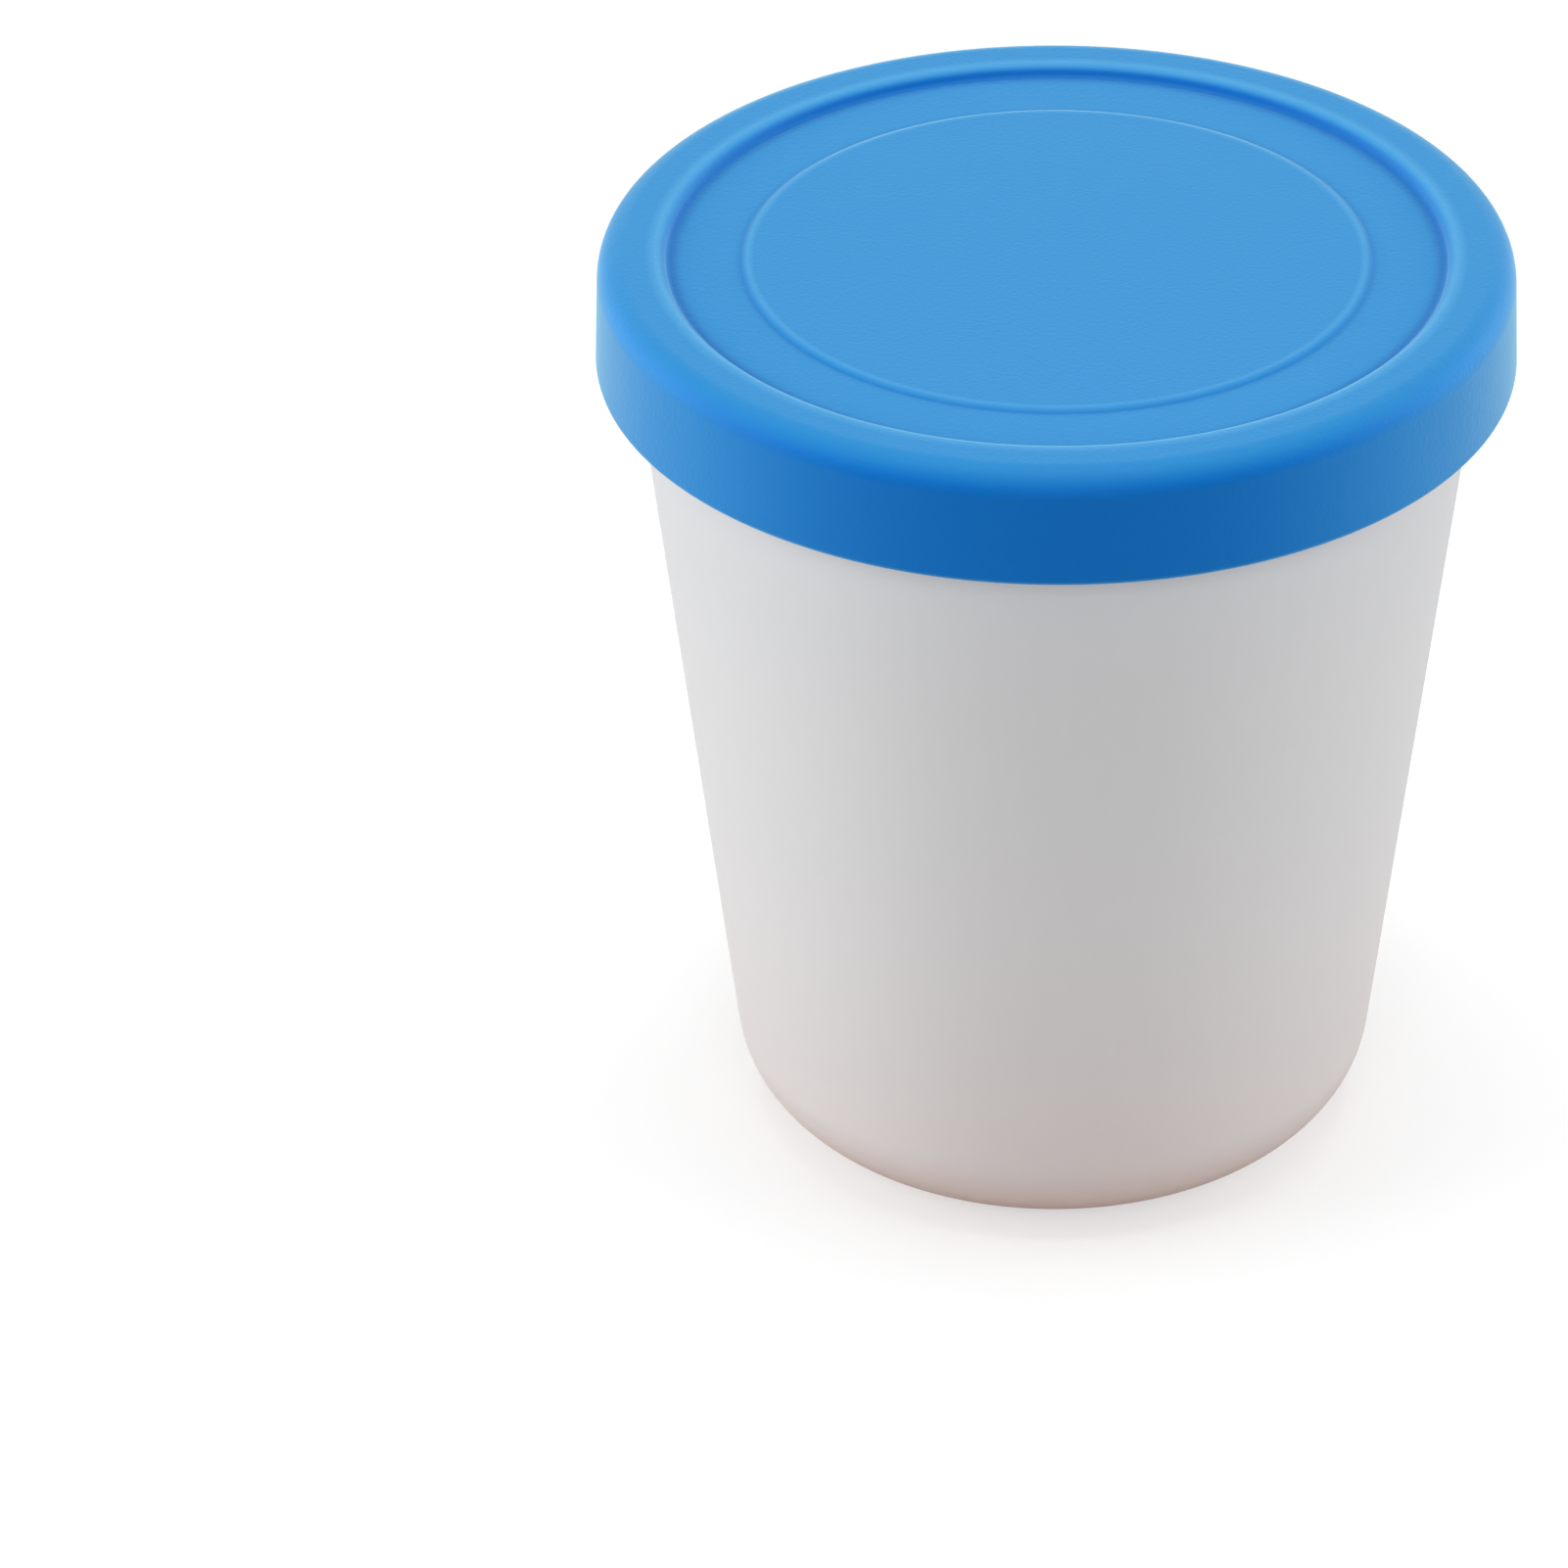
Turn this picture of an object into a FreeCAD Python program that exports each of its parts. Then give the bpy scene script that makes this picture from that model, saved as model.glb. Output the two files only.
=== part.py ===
import FreeCAD, Part
import math
import os

# Round freezer tub with a press-on silicone lid.
# Millimetres. +Z is up, on the axis of the tub, and the origin is the centre of its base.

# --- tub -------------------------------------------------------------------------------
TUB_HEIGHT = 138.1          # base to the top of the tub's rim, on which the lid sits
TUB_RADIUS = 62.25          # outside of the wall, carried up to the top of the rim
TUB_WALL = 2.4              # thickness of the wall at the mouth
WALL_LEAN = 7.1             # degrees the wall leans out from upright
BASE_ROUND = 15.5           # radius of the large round between wall and base
FOOT_BAND = 5.0             # width of the flat ring that the tub stands on
FOOT_HOLLOW = 0.8           # depth of the shallow hollow inside that ring
FOOT_STEP = 1.2             # width of the sloping edge of the hollow
FOOT_ROUND = 0.6            # rounds at the top and bottom of that slope

# --- bead round the outside of the tub's rim ---------------------------------------------
BEAD_OUT = 0.75             # how far the bead stands proud of the wall at the rim
BEAD_HEIGHT = 4.0           # height of the bead down from the rim
BEAD_TOP_ROUND = 1.2
BEAD_FOOT_ROUND = 0.4
MOUTH_ROUND = 0.5           # inner edge of the rim, and the corner below it

# --- lid ---------------------------------------------------------------------------------
LID_SHEET = 2.4             # thickness of the lid's top
LID_GRIP = 0.2              # gap between the bead and the inside of the skirt
SKIRT_WALL = 2.8            # thickness of the skirt at its lower edge
SKIRT_DEPTH = 17.3          # top of the lid to the lower edge of the skirt
SKIRT_FLARE = 1.7           # degrees the outside of the skirt opens out downwards
SKIRT_EDGE_ROUND = 0.9      # both corners of the skirt's lower edge
LID_TOP_ROUND = 4.0         # large round between the top and the skirt
CHANNEL_ROUND = 0.8         # inside corners of the channel that the rim fits into

# --- sunk panel in the lid's top -----------------------------------------------------------
PANEL_SINK = 1.6            # how far the panel lies below the rim of the lid
PANEL_LEAN = 28.0           # degrees the step down to the panel leans from upright
PANEL_EDGE_ROUND = 1.5      # upper edge of that step
PANEL_FOOT_ROUND = 0.9      # foot of that step
PLUG_GAP = 1.35             # gap between the panel's sunk underside and the tub's mouth
PLUG_WALL = 3.0             # thickness of the lid at the step
PLUG_ROUND = 0.6            # lower edge of the sunk underside

# --- raised disc in the middle of the panel ------------------------------------------------
DISC_BAND = 10.4            # flat band between the panel's step and the disc
DISC_RISE = 0.5             # how far the disc stands above the panel
DISC_SLOPE = 1.0            # width of the soft slope up to the disc
DISC_ROUND = 0.8            # rounds at the foot and the crest of that slope

SIDE_SHARE = 0.98           # most of a side that the rounds at its two ends may take up

# --- worked out from the sizes above -------------------------------------------------------
mouth_radius = TUB_RADIUS - TUB_WALL
base_radius = TUB_RADIUS - TUB_HEIGHT * math.tan(math.radians(WALL_LEAN))
base_corner = math.radians(90.0 - WALL_LEAN)
foot_outer_radius = base_radius - BASE_ROUND * math.tan(base_corner / 2.0)
foot_inner_radius = foot_outer_radius - FOOT_BAND
bead_radius = TUB_RADIUS + BEAD_OUT
bead_foot_z = TUB_HEIGHT - BEAD_HEIGHT

lid_top_z = TUB_HEIGHT + LID_SHEET
panel_z = lid_top_z - PANEL_SINK
panel_under_z = panel_z - LID_SHEET
skirt_edge_z = lid_top_z - SKIRT_DEPTH
skirt_bore_radius = bead_radius + LID_GRIP
lid_radius = skirt_bore_radius + SKIRT_WALL
lid_top_radius = lid_radius - SKIRT_DEPTH * math.tan(math.radians(SKIRT_FLARE))
plug_radius = mouth_radius - PLUG_GAP
panel_radius = plug_radius - PLUG_WALL
panel_edge_radius = panel_radius + PANEL_SINK * math.tan(math.radians(PANEL_LEAN))
disc_foot_radius = panel_radius - DISC_BAND
disc_radius = disc_foot_radius - DISC_SLOPE


def wall_radius(z):
    """Outside of the tub's wall at height z."""
    return TUB_RADIUS - (TUB_HEIGHT - z) * math.tan(math.radians(WALL_LEAN))


def rounded_outline(corners):
    """Closed wire in the XZ plane through corners (r, z, round), each rounded by its own arc."""
    points = [FreeCAD.Vector(r, 0.0, z) for r, z, _ in corners]
    count = len(points)
    backs = [(points[i - 1] - points[i]).normalize() for i in range(count)]
    aheads = [(points[(i + 1) % count] - points[i]).normalize() for i in range(count)]
    half_angles = [back.getAngle(ahead) / 2.0 for back, ahead in zip(backs, aheads)]
    reaches = [corner[2] / math.tan(half) for corner, half in zip(corners, half_angles)]
    # Where two rounds are too large for the side between them, both are made smaller.
    shares = []
    for i in range(count):
        wanted = reaches[i - 1] + reaches[i]
        side = points[i - 1].distanceToPoint(points[i])
        shares.append(min(1.0, SIDE_SHARE * side / wanted) if wanted > 0.0 else 1.0)
    bends = []
    for i, corner in enumerate(points):
        reach = reaches[i] * min(shares[i], shares[(i + 1) % count])
        radius = reach * math.tan(half_angles[i])
        inwards = (backs[i] + aheads[i]).normalize()
        middle = corner + inwards * (radius / math.sin(half_angles[i]) - radius)
        bends.append((corner + backs[i] * reach, middle, corner + aheads[i] * reach))
    edges = []
    for i, (start, middle, end) in enumerate(bends):
        edges.append(Part.LineSegment(bends[i - 1][2], start).toShape())
        if corners[i][2] > 0.0:
            edges.append(Part.Arc(start, middle, end).toShape())
    return Part.Wire(edges)


def turned(corners):
    """Solid of revolution about Z from a half section that starts and ends on the axis."""
    section = Part.Face(rounded_outline(corners))
    return section.revolve(FreeCAD.Vector(0, 0, 0), FreeCAD.Vector(0, 0, 1), 360.0)


def make_tub():
    """The closed tub as one filled solid: wall, rounded base with a foot ring, and beaded rim."""
    return turned([
        (0.0, FOOT_HOLLOW, 0.0),
        (foot_inner_radius - FOOT_STEP, FOOT_HOLLOW, FOOT_ROUND),
        (foot_inner_radius, 0.0, FOOT_ROUND),
        (base_radius, 0.0, BASE_ROUND),
        (wall_radius(bead_foot_z), bead_foot_z, BEAD_FOOT_ROUND),
        (bead_radius, bead_foot_z, BEAD_FOOT_ROUND),
        (bead_radius, TUB_HEIGHT, BEAD_TOP_ROUND),
        (mouth_radius, TUB_HEIGHT, MOUTH_ROUND),
        (mouth_radius, panel_under_z, MOUTH_ROUND),
        (0.0, panel_under_z, 0.0),
    ])


def make_lid():
    """The lid: a cap whose skirt hangs outside the bead and whose sunk panel drops into the mouth."""
    return turned([
        (0.0, panel_under_z, 0.0),
        (plug_radius, panel_under_z, PLUG_ROUND),
        (plug_radius, TUB_HEIGHT, CHANNEL_ROUND),
        (skirt_bore_radius, TUB_HEIGHT, CHANNEL_ROUND),
        (skirt_bore_radius, skirt_edge_z, SKIRT_EDGE_ROUND),
        (lid_radius, skirt_edge_z, SKIRT_EDGE_ROUND),
        (lid_top_radius, lid_top_z, LID_TOP_ROUND),
        (panel_edge_radius, lid_top_z, PANEL_EDGE_ROUND),
        (panel_radius, panel_z, PANEL_FOOT_ROUND),
        (disc_foot_radius, panel_z, DISC_ROUND),
        (disc_radius, panel_z + DISC_RISE, DISC_ROUND),
        (0.0, panel_z + DISC_RISE, 0.0),
    ])


os.makedirs("parts", exist_ok=True)
for node, shape in (("tub", make_tub()), ("lid", make_lid())):
    shape.exportStep("parts/" + node + ".step")
    print(f"{node}: volume {shape.Volume / 1000.0:.1f} cm3, valid {shape.isValid()}")
print(f"lid {2.0 * lid_radius:.1f} mm across, whole height {lid_top_z:.1f} mm, "
      f"flat foot out to radius {foot_outer_radius:.1f} mm")
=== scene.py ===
# %% [markdown]
# # A round freezer tub with a silicone lid
# This lesson dresses a packed construction model of a closed freezer tub. The model gives the true
# sizes and places. Here both of its pieces are modelled again as fine, evenly divided meshes, given
# their plastics, and set on a plain pale floor under soft studio light.

# %% Load the construction model
import math
import bmesh
import bpy
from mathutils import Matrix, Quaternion, Vector


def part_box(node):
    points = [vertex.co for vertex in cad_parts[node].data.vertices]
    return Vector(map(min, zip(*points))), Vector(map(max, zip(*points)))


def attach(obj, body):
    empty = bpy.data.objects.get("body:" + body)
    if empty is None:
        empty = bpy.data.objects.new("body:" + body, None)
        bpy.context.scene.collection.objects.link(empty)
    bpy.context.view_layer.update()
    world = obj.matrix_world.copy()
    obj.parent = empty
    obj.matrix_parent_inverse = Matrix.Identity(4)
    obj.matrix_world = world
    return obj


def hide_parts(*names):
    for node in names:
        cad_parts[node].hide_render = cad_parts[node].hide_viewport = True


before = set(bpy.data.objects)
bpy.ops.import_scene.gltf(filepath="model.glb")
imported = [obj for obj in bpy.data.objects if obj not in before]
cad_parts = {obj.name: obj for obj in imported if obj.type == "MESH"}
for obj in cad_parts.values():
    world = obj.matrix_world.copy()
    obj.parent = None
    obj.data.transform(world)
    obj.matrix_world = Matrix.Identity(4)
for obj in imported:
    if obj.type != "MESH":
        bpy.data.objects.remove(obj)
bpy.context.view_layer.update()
tub_low, tub_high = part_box("tub")
lid_low, lid_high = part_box("lid")
print("tub", tuple(tub_low), tuple(tub_high))
print("lid", tuple(lid_low), tuple(lid_high))

# %% [markdown]
# ## Sizes
# The heights and the two outer widths come from the construction model, so they can't drift from it.
# The smaller steps and rounds are the moulder's own sizes, written once here in metres and used below.

# %% Sizes of the tub
MM = 0.001
RING_STEPS = 256

tub_height = tub_high.z
bead_radius = tub_high.x
bead_out = 0.75 * MM
bead_height = 4.0 * MM
tub_radius = bead_radius - bead_out
tub_wall = 2.4 * MM
wall_lean = math.radians(7.1)
base_round = 15.5 * MM
foot_band = 5.0 * MM
foot_hollow = 0.8 * MM
foot_step = 1.2 * MM

bead_foot = tub_height - bead_height
wall_top_radius = tub_radius - bead_height * math.tan(wall_lean)
base_radius = tub_radius - tub_height * math.tan(wall_lean)
base_reach = base_round * math.tan((math.pi / 2.0 - wall_lean) / 2.0)
foot_inner_radius = base_radius - base_reach - foot_band
mouth_radius = tub_radius - tub_wall
print(f"tub wall runs from {base_radius / MM:.1f} to {wall_top_radius / MM:.1f} mm radius")

# %% Sizes of the lid
lid_top = lid_high.z
skirt_edge = lid_low.z
lid_radius = lid_high.x
skirt_depth = lid_top - skirt_edge
skirt_flare = math.radians(1.7)
skirt_wall = 2.8 * MM
lid_top_radius = lid_radius - skirt_depth * math.tan(skirt_flare)
skirt_bore = lid_radius - skirt_wall

panel_sink = 1.6 * MM
panel_lean = math.radians(28.0)
plug_gap = 1.35 * MM
plug_wall = 3.0 * MM
plug_radius = mouth_radius - plug_gap
panel_radius = plug_radius - plug_wall
panel_edge_radius = panel_radius + panel_sink * math.tan(panel_lean)
panel_height = lid_top - panel_sink

disc_band = 10.4 * MM
disc_slope = 1.0 * MM
disc_rise = 0.5 * MM
disc_foot_radius = panel_radius - disc_band
disc_radius = disc_foot_radius - disc_slope
print(f"lid is {2 * lid_radius / MM:.1f} mm across, its raised disc {2 * disc_radius / MM:.1f} mm")

# %% [markdown]
# ## Camera
# A long lens from 1.5 m away, looking down at about thirty degrees, keeps the sides of the tub nearly
# parallel to how they are moulded. The object stands high and to the right in the picture, so the
# lens is shifted instead of turned, which leaves the tub upright.

# %% Camera
SENSOR = 36.0
camera_distance = 1.5
camera_rise = math.radians(28.594)
camera_pitch = math.radians(30.63)
camera_roll = math.radians(0.287)
lens_in_frames = 6.71
shift_aside = -0.1728
shift_up = -0.1031

view_data = bpy.data.cameras.new("view")
view_data.sensor_width = SENSOR
view_data.lens = SENSOR * lens_in_frames
view_data.shift_x = shift_aside
view_data.shift_y = shift_up
view_data.clip_start = 0.05
view_data.clip_end = 20.0
camera = bpy.data.objects.new("view", view_data)
bpy.context.scene.collection.objects.link(camera)
camera.location = (0.0, -camera_distance * math.cos(camera_rise),
                   lid_top + camera_distance * math.sin(camera_rise))
looking = Vector((0.0, math.cos(camera_pitch), -math.sin(camera_pitch)))
camera.rotation_mode = "QUATERNION"
camera.rotation_quaternion = Quaternion(looking, -camera_roll) @ looking.to_track_quat("-Z", "Y")
bpy.context.scene.camera = camera
print(f"camera {camera.location.length:.2f} m away with a {view_data.lens:.0f} mm lens")

# %% [markdown]
# ## Working by hand, in code
# Both pieces are round, so each starts as a cone cut off at the top, is shaped by insets and
# extrusions of its end faces, and then has its rings of edges rounded by the bevel tool. These small
# helpers pick an end face by its height, or a ring of edges by its radius and height, so that the
# next operator acts on that and nothing else.

# %% Helpers that pick faces and edges
NEAR = 0.02 * MM


def start_cone(name, low_radius, high_radius, low, high):
    """Add a cut-off cone standing between two heights and open it for editing."""
    bpy.ops.object.select_all(action="DESELECT")
    bpy.ops.mesh.primitive_cone_add(vertices=RING_STEPS, radius1=low_radius, radius2=high_radius,
                                    depth=high - low, end_fill_type="NGON",
                                    location=(0.0, 0.0, (low + high) / 2.0))
    piece = bpy.context.active_object
    piece.name = name
    piece.data.name = name
    bpy.ops.object.transform_apply(location=True, rotation=False, scale=False)
    bpy.ops.object.mode_set(mode="EDIT")
    bpy.ops.mesh.select_mode(type="FACE")
    return piece


def pick_end(piece, height):
    """Select the one face that crosses the axis at this height."""
    bpy.ops.mesh.select_mode(type="FACE")
    bpy.ops.mesh.select_all(action="DESELECT")
    mesh = bmesh.from_edit_mesh(piece.data)
    for face in mesh.faces:
        middle = face.calc_center_median()
        on_axis = math.hypot(middle.x, middle.y) < NEAR
        face.select_set(on_axis and abs(middle.z - height) < NEAR)
    bmesh.update_edit_mesh(piece.data)


def pick_ring(piece, radius, height):
    """Select the ring of edges at this radius and height."""
    bpy.ops.mesh.select_mode(type="EDGE")
    bpy.ops.mesh.select_all(action="DESELECT")
    mesh = bmesh.from_edit_mesh(piece.data)
    found = 0
    for edge in mesh.edges:
        ends = [(math.hypot(v.co.x, v.co.y), v.co.z) for v in edge.verts]
        on_ring = all(abs(r - radius) < NEAR and abs(z - height) < NEAR for r, z in ends)
        edge.select_set(on_ring)
        found += on_ring
    bmesh.update_edit_mesh(piece.data)
    return found


def push(distance):
    """Extrude the selected end face straight up or down."""
    bpy.ops.mesh.extrude_region_move(TRANSFORM_OT_translate={"value": (0.0, 0.0, distance)})


def widen(factor):
    """Extrude the selected end face and scale it about the axis."""
    bpy.ops.mesh.extrude_region_move()
    bpy.ops.transform.resize(value=(factor, factor, 1.0), center_override=(0.0, 0.0, 0.0))


def close_with_rings(radius, rings):
    """Divide the selected end face into even rings and close the middle with a fan."""
    for _ in range(rings):
        bpy.ops.mesh.inset(thickness=radius / (rings + 1))
    bpy.ops.mesh.poke()


# %% [markdown]
# ## Rounding
# A moulded part has no sharp corner: each one is an arc. The bevel tool wants to know how far the arc
# reaches back along the faces, which for a corner that turns by an angle is the arc's radius times
# the tangent of half the turn.
#
# Edges that stand out get a painted highlight and inside corners get painted shade, both in the lid's
# colour; the highlight marks also leave those edges a little smoother, and a like ring on the tub's
# foot marks real rubbing that only makes it smoother. All are painted on the vertices as rings that
# fade with distance, and the finishes read them later by name.

# %% Helper that rounds a ring
def round_ring(piece, radius, height, arc, turn, segments):
    """Bevel one ring with a circular arc."""
    found = pick_ring(piece, radius, height)
    bpy.ops.mesh.bevel(offset=arc * math.tan(turn / 2.0), offset_type="OFFSET", segments=segments,
                       profile=0.5, affect="EDGES", clamp_overlap=False)
    print(f"{piece.name}: {found} edges rounded to {arc / MM:.1f} mm at {height / MM:.1f} mm up")


# %% Helper that paints a ring
def paint_ring(piece, mark, radius, height, reach, full=1.0):
    """Paint a named value round a ring, from full strength on it down to none at the reach."""
    mesh = bmesh.from_edit_mesh(piece.data)
    layer = mesh.verts.layers.float.get(mark) or mesh.verts.layers.float.new(mark)
    painted = 0
    for vertex in mesh.verts:
        away = math.hypot(math.hypot(vertex.co.x, vertex.co.y) - radius, vertex.co.z - height)
        if away < reach:
            strength = full * (0.5 + 0.5 * math.cos(math.pi * away / reach))
            vertex[layer] = max(vertex[layer], strength)
            painted += 1
    bmesh.update_edit_mesh(piece.data)
    print(f"{piece.name}: {mark} painted on {painted} vertices")


# %% Helper that finishes a piece
def finish_piece(piece):
    """Close the edit, face everything outwards and shade it so that flats stay flat."""
    bpy.ops.mesh.select_mode(type="VERT")
    bpy.ops.mesh.select_all(action="SELECT")
    bpy.ops.mesh.remove_doubles(threshold=0.001 * MM)
    bpy.ops.mesh.normals_make_consistent(inside=False)
    bpy.ops.object.mode_set(mode="OBJECT")
    bpy.ops.object.shade_smooth_by_angle(angle=math.radians(50.0))
    weigh = piece.modifiers.new("flat faces lead", "WEIGHTED_NORMAL")
    weigh.keep_sharp = True
    bpy.ops.object.modifier_apply(modifier=weigh.name)
    loose = [e for e in piece.data.edges if e.is_loose]
    print(f"{piece.name}: {len(piece.data.polygons)} faces, {len(loose)} loose edges")


# %% [markdown]
# ## The tub
# The real tub is one injection-moulded piece: a leaning wall, a very large round into the base, a
# narrow ring to stand on, and a small bead round the mouth that the lid grips. It could be spun from
# a drawn section, but starting from the cone shows how each feature is pulled out of the one before.

# %% Wall, bead and mouth
tub = start_cone("tub_wall", base_radius, wall_top_radius, 0.0, bead_foot)
pick_end(tub, bead_foot)
widen(bead_radius / wall_top_radius)
push(bead_height)
bpy.ops.mesh.inset(thickness=bead_radius - mouth_radius)
push(-panel_sink)
close_with_rings(mouth_radius, 2)

# %% Foot ring and the shallow hollow inside it
pick_end(tub, 0.0)
bpy.ops.mesh.inset(thickness=base_radius - foot_inner_radius)
bpy.ops.mesh.inset(thickness=foot_step, depth=-foot_hollow)
close_with_rings(foot_inner_radius - foot_step, 2)

# %% Rounds of the tub
QUARTER = math.pi / 2.0
FOOT_ROUND = 0.6 * MM
BEAD_FOOT_ROUND = 0.4 * MM
BEAD_TOP_ROUND = 1.2 * MM
MOUTH_ROUND = 0.5 * MM
FOOT_RUB_REACH = 4.0 * MM

foot_slope = math.atan2(foot_hollow, foot_step)
round_ring(tub, base_radius, 0.0, base_round, QUARTER - wall_lean, 28)
round_ring(tub, foot_inner_radius, 0.0, FOOT_ROUND, foot_slope, 4)
round_ring(tub, foot_inner_radius - foot_step, foot_hollow, FOOT_ROUND, foot_slope, 4)
round_ring(tub, wall_top_radius, bead_foot, BEAD_FOOT_ROUND, QUARTER - wall_lean, 5)
round_ring(tub, bead_radius, bead_foot, BEAD_FOOT_ROUND, QUARTER, 5)
round_ring(tub, bead_radius, tub_height, BEAD_TOP_ROUND, QUARTER, 8)
round_ring(tub, mouth_radius, tub_height, MOUTH_ROUND, QUARTER, 5)
round_ring(tub, mouth_radius, tub_height - panel_sink, MOUTH_ROUND, QUARTER, 5)
# On the tub this ring only makes the foot a little smoother where it is rubbed; no colour reads it.
paint_ring(tub, "rub_and_highlight", foot_inner_radius + foot_band / 2.0, 0.0, FOOT_RUB_REACH)
finish_piece(tub)

# %% [markdown]
# ## The lid
# The lid is one piece of silicone: a deep skirt that opens out a little downwards, a broad soft round
# over to the top, a sunk panel that drops into the mouth, and a disc that stands just proud in the
# middle of the panel. The same cone start works, first upwards for the top, then from below for the
# hollow that takes the tub's rim. Beside each line on the top a few narrow rings are inset as well, so
# that the paint on the vertices fades out close to the line and not across the whole face.

# %% Top of the lid
EDGE_FADE = 2.4 * MM
EDGE_RINGS = 2
CORNER_FADE = 2.4 * MM
CORNER_RINGS = 6
LINE_FADE = 0.9 * MM

lid = start_cone("lid_shell", lid_radius, lid_top_radius, skirt_edge, lid_top)
pick_end(lid, lid_top)
bpy.ops.mesh.inset(thickness=lid_top_radius - panel_edge_radius - EDGE_FADE)
for _ in range(EDGE_RINGS):
    bpy.ops.mesh.inset(thickness=EDGE_FADE / EDGE_RINGS)
bpy.ops.mesh.inset(thickness=panel_edge_radius - panel_radius, depth=-panel_sink)
for _ in range(CORNER_RINGS):
    bpy.ops.mesh.inset(thickness=CORNER_FADE / CORNER_RINGS)
bpy.ops.mesh.inset(thickness=disc_band - CORNER_FADE - LINE_FADE)
bpy.ops.mesh.inset(thickness=LINE_FADE)
bpy.ops.mesh.inset(thickness=disc_slope, depth=disc_rise)
bpy.ops.mesh.inset(thickness=LINE_FADE)
close_with_rings(disc_radius - LINE_FADE, 4)

# %% Hollow of the lid
pick_end(lid, skirt_edge)
bpy.ops.mesh.inset(thickness=lid_radius - skirt_bore)
push(tub_height - skirt_edge)
bpy.ops.mesh.inset(thickness=skirt_bore - plug_radius)
push(-panel_sink)
close_with_rings(plug_radius, 2)

# %% Rounds of the lid
SKIRT_EDGE_ROUND = 0.9 * MM
LID_TOP_ROUND = 4.0 * MM
PANEL_EDGE_ROUND = 1.5 * MM
PANEL_FOOT_ROUND = 0.9 * MM
DISC_ROUND = 0.8 * MM
CHANNEL_ROUND = 0.8 * MM
PLUG_ROUND = 0.6 * MM

disc_tilt = math.atan2(disc_rise, disc_slope)
panel_turn = QUARTER - panel_lean
round_ring(lid, lid_radius, skirt_edge, SKIRT_EDGE_ROUND, QUARTER + skirt_flare, 8)
round_ring(lid, skirt_bore, skirt_edge, SKIRT_EDGE_ROUND, QUARTER, 8)
round_ring(lid, lid_top_radius, lid_top, LID_TOP_ROUND, QUARTER - skirt_flare, 16)
round_ring(lid, panel_edge_radius, lid_top, PANEL_EDGE_ROUND, panel_turn, 10)
round_ring(lid, panel_radius, panel_height, PANEL_FOOT_ROUND, panel_turn, 8)
round_ring(lid, disc_foot_radius, panel_height, DISC_ROUND, disc_tilt, 5)
round_ring(lid, disc_radius, panel_height + disc_rise, DISC_ROUND, disc_tilt, 5)
round_ring(lid, skirt_bore, tub_height, CHANNEL_ROUND, QUARTER, 5)
round_ring(lid, plug_radius, tub_height, CHANNEL_ROUND, QUARTER, 5)
round_ring(lid, plug_radius, tub_height - panel_sink, PLUG_ROUND, QUARTER, 5)

# %% Painted highlight and painted shade on the lid
EDGE_HIGHLIGHT_REACH = 1.5 * MM
CORNER_REACH = 2.1 * MM
LINE_REACH = 0.8 * MM

edge_middle = panel_edge_radius + 0.4 * EDGE_HIGHLIGHT_REACH
corner_middle = panel_radius - 0.1 * MM
# Painted highlight along the panel's edge and the disc's edge, which also leaves them a little
# smoother.
paint_ring(lid, "rub_and_highlight", edge_middle, lid_top, EDGE_HIGHLIGHT_REACH)
paint_ring(lid, "rub_and_highlight", disc_radius, panel_height + disc_rise, LINE_REACH, full=0.7)
# Painted shade in the panel's inside corner and round the foot of the disc.
paint_ring(lid, "painted_corner_shade", corner_middle, panel_height, CORNER_REACH, full=0.75)
paint_ring(lid, "painted_corner_shade", disc_foot_radius, panel_height, LINE_REACH, full=0.35)
finish_piece(lid)

# %% [markdown]
# ## Effects that both plastics share
# Moulded silicone and moulded polypropylene differ in colour, but both carry a fine matte grain from
# the mould, a slight unevenness where the part shrank, and patches that handling left a little
# smoother. Each effect is a node group with named inputs, so a material only says how strong and how
# large it is.

# %% Small helpers for node trees
def new_group(name, inputs, outputs):
    """Make a shader node group with named float inputs and outputs."""
    group = bpy.data.node_groups.new(name, "ShaderNodeTree")
    for title, value in inputs:
        socket = group.interface.new_socket(title, in_out="INPUT", socket_type="NodeSocketFloat")
        socket.default_value = value
    for title in outputs:
        group.interface.new_socket(title, in_out="OUTPUT", socket_type="NodeSocketFloat")
    return group


def add_node(tree, kind, **settings):
    """Add a node and set its properties."""
    node = tree.nodes.new(kind)
    for name, value in settings.items():
        setattr(node, name, value)
    return node


def math_node(tree, operation, first, second):
    """Add a math node whose inputs are each a socket or a number."""
    node = add_node(tree, "ShaderNodeMath", operation=operation)
    for socket, value in zip(node.inputs, (first, second)):
        if isinstance(value, bpy.types.NodeSocket):
            tree.links.new(value, socket)
        else:
            socket.default_value = value
    return node.outputs[0]


def noise(tree, place, scale, detail):
    """Add a noise texture on the object's own coordinates, centred on zero."""
    node = add_node(tree, "ShaderNodeTexNoise")
    node.inputs["Detail"].default_value = detail
    tree.links.new(place, node.inputs["Vector"])
    if isinstance(scale, bpy.types.NodeSocket):
        tree.links.new(scale, node.inputs["Scale"])
    else:
        node.inputs["Scale"].default_value = scale
    return math_node(tree, "SUBTRACT", node.outputs["Fac"], 0.5)


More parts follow.
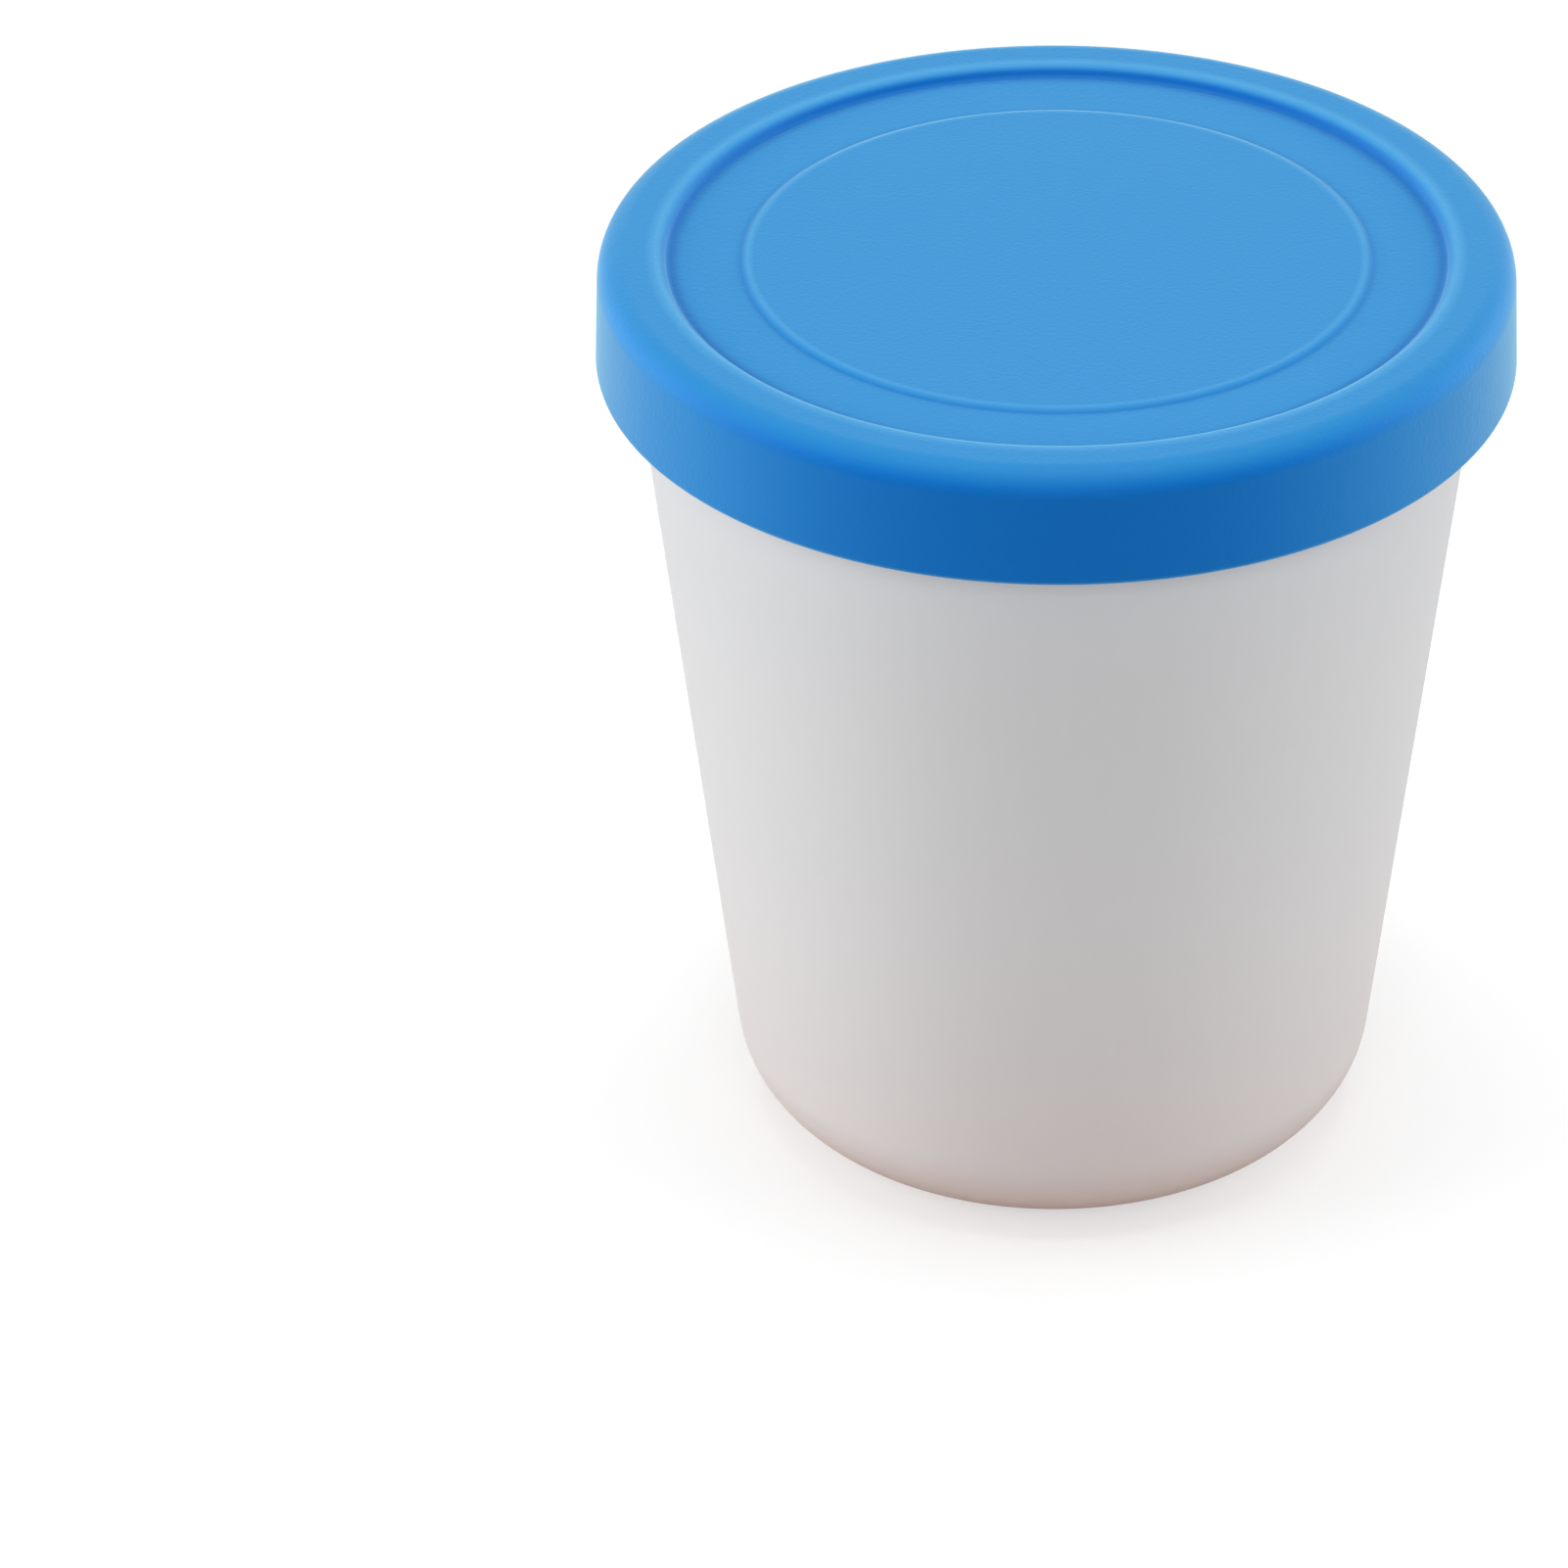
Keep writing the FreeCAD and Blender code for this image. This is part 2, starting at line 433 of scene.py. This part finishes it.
# %% Mould grain
grain = new_group("mould_grain",
                  [("Grain Size", 0.4 * MM), ("Grain Depth", 0.01 * MM),
                   ("Swell Size", 20.0 * MM), ("Swell Depth", 0.02 * MM)], ["Height"])
into = add_node(grain, "NodeGroupInput")
out = add_node(grain, "NodeGroupOutput")
place = add_node(grain, "ShaderNodeTexCoord").outputs["Object"]
fine = noise(grain, place, math_node(grain, "DIVIDE", 1.0, into.outputs["Grain Size"]), 1.0)
swell = noise(grain, place, math_node(grain, "DIVIDE", 1.0, into.outputs["Swell Size"]), 1.0)
fine_height = math_node(grain, "MULTIPLY", fine, into.outputs["Grain Depth"])
swell_height = math_node(grain, "MULTIPLY", swell, into.outputs["Swell Depth"])
grain.links.new(math_node(grain, "ADD", fine_height, swell_height), out.inputs["Height"])
print("group", grain.name, "puts out a height in metres")

# %% Handled surface
handled = new_group("handled_surface",
                    [("Roughness", 0.5), ("Patch Size", 12.0 * MM), ("Patch Strength", 0.08),
                     ("Rub", 0.0), ("Rub Strength", 0.05)], ["Roughness"])
into = add_node(handled, "NodeGroupInput")
out = add_node(handled, "NodeGroupOutput")
place = add_node(handled, "ShaderNodeTexCoord").outputs["Object"]
patch = noise(handled, place, math_node(handled, "DIVIDE", 1.0, into.outputs["Patch Size"]), 3.0)
patch = math_node(handled, "MULTIPLY", patch, into.outputs["Patch Strength"])
polish = math_node(handled, "MULTIPLY", into.outputs["Rub"], into.outputs["Rub Strength"])
rough = math_node(handled, "ADD", into.outputs["Roughness"], patch)
handled.links.new(math_node(handled, "SUBTRACT", rough, polish), out.inputs["Roughness"])
print("group", handled.name, "puts out a roughness")

# %% Painted top light on what faces up
# Faces that look up get a paler colour: painted light that stands for the light falling from above.
top_light_group = new_group("painted_top_light",
                  [("From", 0.2), ("To", 1.0), ("Patch Size", 10.0 * MM), ("Patch Strength", 0.1)],
                  ["Bloom"])
into = add_node(top_light_group, "NodeGroupInput")
out = add_node(top_light_group, "NodeGroupOutput")
facing = add_node(top_light_group, "ShaderNodeSeparateXYZ")
top_light_group.links.new(add_node(top_light_group, "ShaderNodeNewGeometry").outputs["Normal"], facing.inputs["Vector"])
upward = add_node(top_light_group, "ShaderNodeMapRange", interpolation_type="SMOOTHSTEP")
top_light_group.links.new(facing.outputs["Z"], upward.inputs["Value"])
top_light_group.links.new(into.outputs["From"], upward.inputs["From Min"])
top_light_group.links.new(into.outputs["To"], upward.inputs["From Max"])
place = add_node(top_light_group, "ShaderNodeTexCoord").outputs["Object"]
patch = noise(top_light_group, place, math_node(top_light_group, "DIVIDE", 1.0, into.outputs["Patch Size"]), 3.0)
patch = math_node(top_light_group, "MULTIPLY", patch, into.outputs["Patch Strength"])
top_light_group.links.new(math_node(top_light_group, "ADD", upward.outputs["Result"], patch), out.inputs["Bloom"])
print("group", top_light_group.name, "puts out a mask")

# %% [markdown]
# ## Finishes
# The silicone is a clear strong blue with a soft surface and some sheen. Its colour also carries
# painted light: a painted sheen turns its upright faces paler where they are seen at a slant, faces
# that look up get a paler painted top light, edges that stand out a painted highlight, and inside
# corners painted shade. The polypropylene is a neutral white with a matt skin, and pulling it from
# the mould leaves very faint upright streaks.
# The shader itself stays in the material, and each number that is the same all over is set on its
# socket.

# %% Helper that starts a finish
def start_finish(name):
    """Make a material and return it with its tree, its shader and its bump node."""
    material = bpy.data.materials.new(name)
    material.use_nodes = True
    tree = material.node_tree
    shader = tree.nodes["Principled BSDF"]
    bump = add_node(tree, "ShaderNodeBump")
    bump.inputs["Strength"].default_value = 1.0
    bump.inputs["Distance"].default_value = 1.0
    tree.links.new(bump.outputs["Normal"], shader.inputs["Normal"])
    return material, tree, shader, bump


def use_group(tree, group, **values):
    """Place a node group and set its inputs; underscores in the names stand for spaces."""
    node = add_node(tree, "ShaderNodeGroup", node_tree=group)
    for name, value in values.items():
        node.inputs[name.replace("_", " ")].default_value = value
    return node


def blend_colours(tree, amount, first, second):
    """Mix two colours, each a socket or three numbers, by a mask."""
    node = add_node(tree, "ShaderNodeMix", data_type="RGBA")
    tree.links.new(amount, node.inputs["Factor"])
    for socket, colour in ((node.inputs["A"], first), (node.inputs["B"], second)):
        if isinstance(colour, bpy.types.NodeSocket):
            tree.links.new(colour, socket)
        else:
            socket.default_value = (*colour, 1.0)
    return node.outputs["Result"]


# %% Blue silicone
SILICONE_WALL = (0.0, 0.168, 0.60)
SILICONE_PAINTED_SHEEN = (0.02, 0.26, 0.68)
SILICONE_PAINTED_TOP_LIGHT = (0.018, 0.232, 0.567)
SILICONE_PAINTED_HIGHLIGHT = (0.07, 0.34, 0.67)
SILICONE_PAINTED_SHADE = (0.0, 0.09, 0.42)
PAINTED_SHEEN_FROM = 0.08
PAINTED_SHEEN_TO = 0.5
HIGHLIGHT_SHARE = 0.8
SHADE_SHARE = 0.8

silicone, tree, shader, bump = start_finish("blue_silicone")
rub_and_highlight = add_node(tree, "ShaderNodeAttribute", attribute_name="rub_and_highlight").outputs["Fac"]
painted_corner_shade = add_node(tree, "ShaderNodeAttribute", attribute_name="painted_corner_shade").outputs["Fac"]
# Painted top light: faces that look up turn a paler blue.
top_light_node = use_group(tree, top_light_group, From=0.32, To=1.0, Patch_Size=9.0 * MM, Patch_Strength=0.12)
# Painted sheen: faces seen at a slant turn a paler blue.
painted_sheen_mask = add_node(tree, "ShaderNodeMapRange", interpolation_type="SMOOTHSTEP")
painted_sheen_mask.inputs["From Min"].default_value = PAINTED_SHEEN_FROM
painted_sheen_mask.inputs["From Max"].default_value = PAINTED_SHEEN_TO
tree.links.new(add_node(tree, "ShaderNodeLayerWeight").outputs["Facing"], painted_sheen_mask.inputs["Value"])
wall_blue = blend_colours(tree, painted_sheen_mask.outputs["Result"], SILICONE_WALL, SILICONE_PAINTED_SHEEN)
blue = blend_colours(tree, top_light_node.outputs["Bloom"], wall_blue, SILICONE_PAINTED_TOP_LIGHT)
# Painted highlight on edges that stand out.
blue = blend_colours(tree, math_node(tree, "MULTIPLY", rub_and_highlight, HIGHLIGHT_SHARE), blue, SILICONE_PAINTED_HIGHLIGHT)
# Painted shade in inside corners.
blue = blend_colours(tree, math_node(tree, "MULTIPLY", painted_corner_shade, SHADE_SHARE), blue, SILICONE_PAINTED_SHADE)
tree.links.new(blue, shader.inputs["Base Color"])
skin = use_group(tree, grain, Grain_Size=0.7 * MM, Grain_Depth=0.045 * MM,
                 Swell_Size=18.0 * MM, Swell_Depth=0.03 * MM)
tree.links.new(skin.outputs["Height"], bump.inputs["Height"])
touch = use_group(tree, handled, Roughness=0.5, Patch_Size=10.0 * MM, Patch_Strength=0.1,
                  Rub_Strength=0.04)
tree.links.new(rub_and_highlight, touch.inputs["Rub"])
tree.links.new(touch.outputs["Roughness"], shader.inputs["Roughness"])
shader.inputs["IOR"].default_value = 1.42
shader.inputs["Specular IOR Level"].default_value = 0.1
shader.inputs["Sheen Weight"].default_value = 0.65
shader.inputs["Sheen Tint"].default_value = (0.6, 1.0, 0.95, 1.0)
shader.inputs["Sheen Roughness"].default_value = 0.4
lid.data.materials.append(silicone)
print("finish", silicone.name)

# %% White polypropylene
WHITE = (0.82, 0.835, 0.847)
WHITE_DULL = (0.813, 0.825, 0.832)
STREAK_WIDTH = 1.5 * MM
STREAK_STRETCH = 0.04
STREAK_DEPTH = 0.0007 * MM

plastic, tree, shader, bump = start_finish("white_polypropylene")
place = add_node(tree, "ShaderNodeTexCoord").outputs["Object"]
upright = add_node(tree, "ShaderNodeMapping")
upright.inputs["Scale"].default_value = (1.0, 1.0, STREAK_STRETCH)
tree.links.new(place, upright.inputs["Vector"])
streak = noise(tree, upright.outputs["Vector"], 1.0 / STREAK_WIDTH, 3.0)
shade = math_node(tree, "ADD", streak, 0.5)
tree.links.new(blend_colours(tree, shade, WHITE, WHITE_DULL), shader.inputs["Base Color"])
skin = use_group(tree, grain, Grain_Size=0.6 * MM, Grain_Depth=0.015 * MM,
                 Swell_Size=30.0 * MM, Swell_Depth=0.03 * MM)
drag = math_node(tree, "MULTIPLY", streak, STREAK_DEPTH)
tree.links.new(math_node(tree, "ADD", skin.outputs["Height"], drag), bump.inputs["Height"])
rub_and_highlight = add_node(tree, "ShaderNodeAttribute", attribute_name="rub_and_highlight").outputs["Fac"]
touch = use_group(tree, handled, Roughness=0.8, Patch_Size=14.0 * MM, Patch_Strength=0.08,
                  Rub_Strength=0.08)
tree.links.new(rub_and_highlight, touch.inputs["Rub"])
tree.links.new(touch.outputs["Roughness"], shader.inputs["Roughness"])
shader.inputs["IOR"].default_value = 1.49
shader.inputs["Specular IOR Level"].default_value = 0.06
tub.data.materials.append(plastic)
print("finish", plastic.name)

# %% [markdown]
# ## Tie the pieces to the construction model
# Each new piece rides on the model's one body and stands for the plain piece of the model that it
# covers, which is hidden.

# %% Tie the pieces
for piece, node, slot in ((tub, "tub", "tub_plastic"), (lid, "lid", "lid_silicone")):
    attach(piece, "root")
    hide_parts(node)
    print(piece.name, "stands for", node)

# %% [markdown]
# ## Floor and light
# The floor is a plain white sheet. To the camera it is paper white and keeps the soft shadow under
# the tub. To the tub it is a warmer, darker board, which is what gives the base its faint warm glow.
# Six large soft boxes light the object: one at each side, one behind on each side, one overhead and
# one further away in front, so the sides are lighter than the middle. There is no other light; the
# lamps and their bounce off the floor do all of it.

# %% Helper that tells which rays see the background
BACKDROP = 1.0


def background_rays(tree):
    """Mask of the rays that see the white background: straight, mirrored or through glass."""
    rays = add_node(tree, "ShaderNodeLightPath")
    bounced = math_node(tree, "MAXIMUM", rays.outputs["Is Glossy Ray"],
                        rays.outputs["Is Transmission Ray"])
    return math_node(tree, "MAXIMUM", rays.outputs["Is Camera Ray"], bounced)


# %% Floor
FLOOR_SIDE = 6.0
FLOOR_WARM = (0.65, 0.40, 0.31)
FLOOR_PLAIN = (0.45, 0.45, 0.46)
WARM_REACH = 0.18
FLOOR_SEEN = (0.5, 0.5, 0.5)
FLOOR_LIFT = 0.55
SHADOW_FADE = 0.14
SHADOW_REACH = 0.35

bpy.ops.object.select_all(action="DESELECT")
bpy.ops.mesh.primitive_plane_add(size=FLOOR_SIDE, location=(0.0, 0.0, 0.0))
floor = bpy.context.active_object
floor.name = "floor"
paper = bpy.data.materials.new("floor_paper")
paper.use_nodes = True
tree = paper.node_tree
tree.nodes.clear()
surface = add_node(tree, "ShaderNodeOutputMaterial")
board = add_node(tree, "ShaderNodeBsdfDiffuse")
sheet = add_node(tree, "ShaderNodeBsdfDiffuse")
sheet.inputs["Color"].default_value = (*FLOOR_SEEN, 1.0)
lift = add_node(tree, "ShaderNodeEmission")
lift.inputs["Strength"].default_value = FLOOR_LIFT
seen = add_node(tree, "ShaderNodeAddShader")
tree.links.new(sheet.outputs[0], seen.inputs[0])
tree.links.new(lift.outputs[0], seen.inputs[1])
white = add_node(tree, "ShaderNodeEmission")
white.inputs["Strength"].default_value = BACKDROP
reach = add_node(tree, "ShaderNodeVectorMath", operation="LENGTH")
tree.links.new(add_node(tree, "ShaderNodeTexCoord").outputs["Object"], reach.inputs[0])
fade = add_node(tree, "ShaderNodeMapRange", interpolation_type="SMOOTHSTEP")
fade.inputs["From Min"].default_value = SHADOW_FADE
fade.inputs["From Max"].default_value = SHADOW_REACH
tree.links.new(reach.outputs["Value"], fade.inputs["Value"])
backdrop = add_node(tree, "ShaderNodeMixShader")
tree.links.new(fade.outputs["Result"], backdrop.inputs["Fac"])
tree.links.new(seen.outputs[0], backdrop.inputs[1])
tree.links.new(white.outputs[0], backdrop.inputs[2])
cool = add_node(tree, "ShaderNodeMapRange", interpolation_type="SMOOTHSTEP")
cool.inputs["From Min"].default_value = 0.0
cool.inputs["From Max"].default_value = WARM_REACH
tree.links.new(reach.outputs["Value"], cool.inputs["Value"])
near_far = blend_colours(tree, cool.outputs["Result"], FLOOR_WARM, FLOOR_PLAIN)
tree.links.new(near_far, board.inputs["Color"])
pick = add_node(tree, "ShaderNodeMixShader")
tree.links.new(background_rays(tree), pick.inputs["Fac"])
tree.links.new(board.outputs[0], pick.inputs[1])
tree.links.new(backdrop.outputs[0], pick.inputs[2])
tree.links.new(pick.outputs[0], surface.inputs["Surface"])
floor.data.materials.append(paper)
print(f"floor {FLOOR_SIDE} m wide")

# %% Room light
ROOM = 0.0

world = bpy.data.worlds.new("room")
bpy.context.scene.world = world
world.use_nodes = True
tree = world.node_tree
tree.nodes.clear()
surface = add_node(tree, "ShaderNodeOutputWorld")
room = add_node(tree, "ShaderNodeBackground")
room.inputs["Color"].default_value = (1.0, 1.0, 1.0, 1.0)
room.inputs["Strength"].default_value = ROOM
beyond = add_node(tree, "ShaderNodeBackground")
beyond.inputs["Color"].default_value = (1.0, 1.0, 1.0, 1.0)
beyond.inputs["Strength"].default_value = BACKDROP
pick = add_node(tree, "ShaderNodeMixShader")
tree.links.new(background_rays(tree), pick.inputs["Fac"])
tree.links.new(room.outputs[0], pick.inputs[1])
tree.links.new(beyond.outputs[0], pick.inputs[2])
tree.links.new(pick.outputs[0], surface.inputs["Surface"])
print("room light", ROOM)

# %% Soft boxes
SOFT_BOXES = {
    "left": ((-1.5, -0.1, 0.5), 1.2, 16.0),
    "left_back": ((-1.3, 0.9, 0.6), 1.2, 5.0),
    "right": ((1.5, -0.1, 0.5), 1.2, 10.2),
    "right_back": ((1.3, 0.9, 0.6), 1.2, 8.8),
    "above": ((0.0, 0.0, 1.9), 1.2, 23.5),
    "front": ((0.0, -1.8, 1.0), 1.2, 12.8),
}


def soft_box(name, place, side, watts):
    """Hang a square lamp and turn its face to the tub."""
    data = bpy.data.lights.new("soft_box_" + name, "AREA")
    data.shape = "SQUARE"
    data.size = side
    data.energy = watts
    lamp = bpy.data.objects.new(data.name, data)
    bpy.context.scene.collection.objects.link(lamp)
    lamp.location = place
    towards = Vector((0.0, 0.0, tub_height / 2.0)) - lamp.location
    lamp.rotation_mode = "QUATERNION"
    lamp.rotation_quaternion = towards.to_track_quat("-Z", "Y")
    lamp.visible_camera = False
    print(f"{data.name}: {watts} W from {towards.length:.2f} m")


for name, (place, side, watts) in SOFT_BOXES.items():
    soft_box(name, place, side, watts)

# %% [markdown]
# ## Colour
# The plain Standard view keeps each colour as it is written.

# %% Colour
bpy.context.scene.view_settings.view_transform = "Standard"
